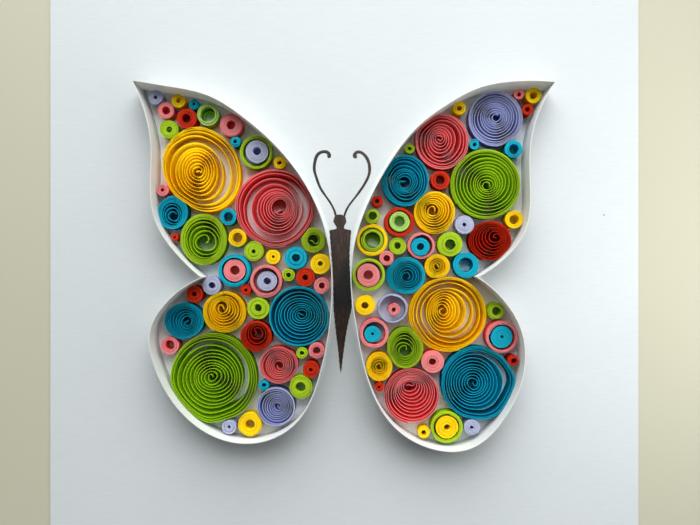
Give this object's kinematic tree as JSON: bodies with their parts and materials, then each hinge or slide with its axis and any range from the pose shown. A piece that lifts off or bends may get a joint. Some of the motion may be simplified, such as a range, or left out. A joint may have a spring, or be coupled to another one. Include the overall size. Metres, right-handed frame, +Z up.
{
  "type": "quilled paper butterfly",
  "caption": "Decorative butterfly on a white card sheet: two wing rims of paper strip on edge, filled with coloured paper coils round a painted body.",
  "frame": {"origin": "centre of the underside of the card sheet", "axes": "+X towards the right wing, +Y along the length of the sheet from the tail to the head, +Z up out of the card"},
  "size_m": [0.21, 0.297, 0.0103],
  "materials": {
    "card": "matt white card with a fine laid grain",
    "rim_paper": "matt white paper strip on edge",
    "body_paint": "thin brushed paint with a slight gloss",
    "yellow_paper": "matt coloured paper strip on edge",
    "pink_paper": "matt coloured paper strip on edge",
    "turquoise_paper": "matt coloured paper strip on edge",
    "green_paper": "matt coloured paper strip on edge",
    "red_paper": "matt coloured paper strip on edge",
    "lavender_paper": "matt coloured paper strip on edge"
  },
  "bodies": {
    "root": {"backing_card": "card", "left_fore_green_coil": "green_paper", "left_fore_large_pink_coil": "pink_paper", "left_fore_large_yellow_coil": "yellow_paper", "left_fore_loose_green_roll": "green_paper", "left_fore_turquoise_coil": "turquoise_paper", "left_green_ring": "green_paper", "left_green_rolls": "green_paper", "left_hind_large_green_coil": "green_paper", "left_hind_large_turquoise_coil": "turquoise_paper", "left_hind_lavender_coil": "lavender_paper", "left_hind_pink_coil": "pink_paper", "left_hind_red_coil": "red_paper", "left_hind_turquoise_coil": "turquoise_paper", "left_hind_yellow_coil": "yellow_paper", "left_inner_lavender_rolls": "lavender_paper", "left_inner_pink_roll": "pink_paper", "left_lavender_rolls": "lavender_paper", "left_pale_green_roll": "green_paper", "left_pink_ring": "pink_paper", "left_pink_rolls": "pink_paper", "left_red_rolls": "red_paper", "left_rim": "rim_paper", "left_turquoise_ring": "turquoise_paper", "left_turquoise_rolls": "turquoise_paper", "left_yellow_rolls": "yellow_paper", "painted_body": "body_paint", "right_fore_large_green_coil": "green_paper", "right_fore_lavender_coil": "lavender_paper", "right_fore_pink_coil": "pink_paper", "right_fore_red_coil": "red_paper", "right_fore_turquoise_coil": "turquoise_paper", "right_fore_yellow_coil": "yellow_paper", "right_green_ring": "green_paper", "right_green_rolls": "green_paper", "right_hind_green_coil": "green_paper", "right_hind_green_ring": "green_paper", "right_hind_large_pink_coil": "pink_paper", "right_hind_large_turquoise_coil": "turquoise_paper", "right_hind_large_yellow_coil": "yellow_paper", "right_hind_yellow_coil": "yellow_paper", "right_inner_green_roll": "green_paper", "right_inner_pale_green_roll": "green_paper", "right_inner_pink_rolls": "pink_paper", "right_inner_turquoise_rolls": "turquoise_paper", "right_inner_yellow_roll": "yellow_paper", "right_lavender_ring": "lavender_paper", "right_lavender_rolls": "lavender_paper", "right_lower_pink_ring": "pink_paper", "right_middle_turquoise_coil": "turquoise_paper", "right_middle_yellow_coil": "yellow_paper", "right_outer_pink_ring": "pink_paper", "right_pink_rolls": "pink_paper", "right_red_ring": "red_paper", "right_red_rolls": "red_paper", "right_rim": "rim_paper", "right_turquoise_rolls": "turquoise_paper", "right_upper_pink_ring": "pink_paper", "right_yellow_ring": "yellow_paper", "right_yellow_rolls": "yellow_paper"}
  },
  "joints": []
}
